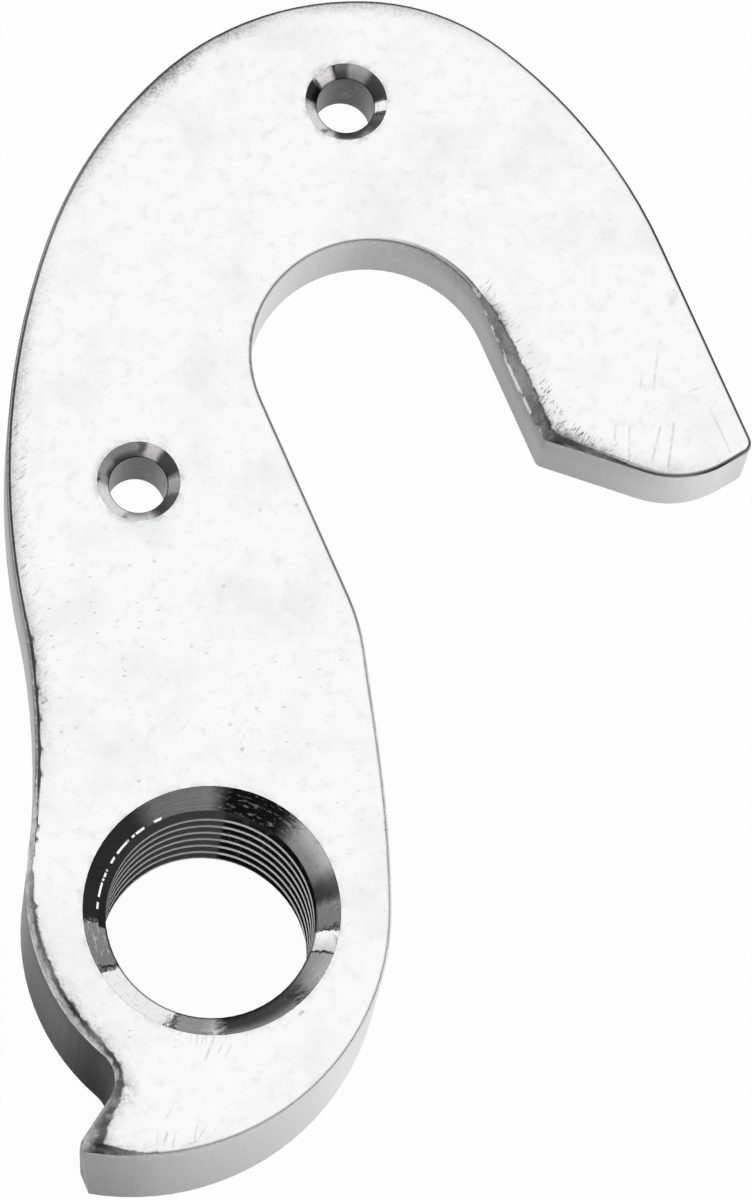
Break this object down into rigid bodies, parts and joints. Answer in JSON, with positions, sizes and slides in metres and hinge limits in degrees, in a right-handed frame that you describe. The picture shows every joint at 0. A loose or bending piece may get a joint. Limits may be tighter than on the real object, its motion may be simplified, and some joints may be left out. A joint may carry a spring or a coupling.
{
  "type": "bicycle derailleur hanger",
  "caption": "Hooked aluminium plate with a thick threaded boss that carries a rear derailleur, a leaning axle slot and tapped holes for the frame screws.",
  "frame": {"origin": "on the axis of the derailleur thread, on the back face of the boss", "axes": "+Z along the thread, towards the outer face; +X forward on the bicycle; +Y up it"},
  "size_m": [0.0326, 0.0529, 0.0078],
  "materials": {
    "alloy": "tumbled bare aluminium, satin"
  },
  "bodies": {
    "root": {"hanger_body": "alloy"}
  },
  "joints": []
}
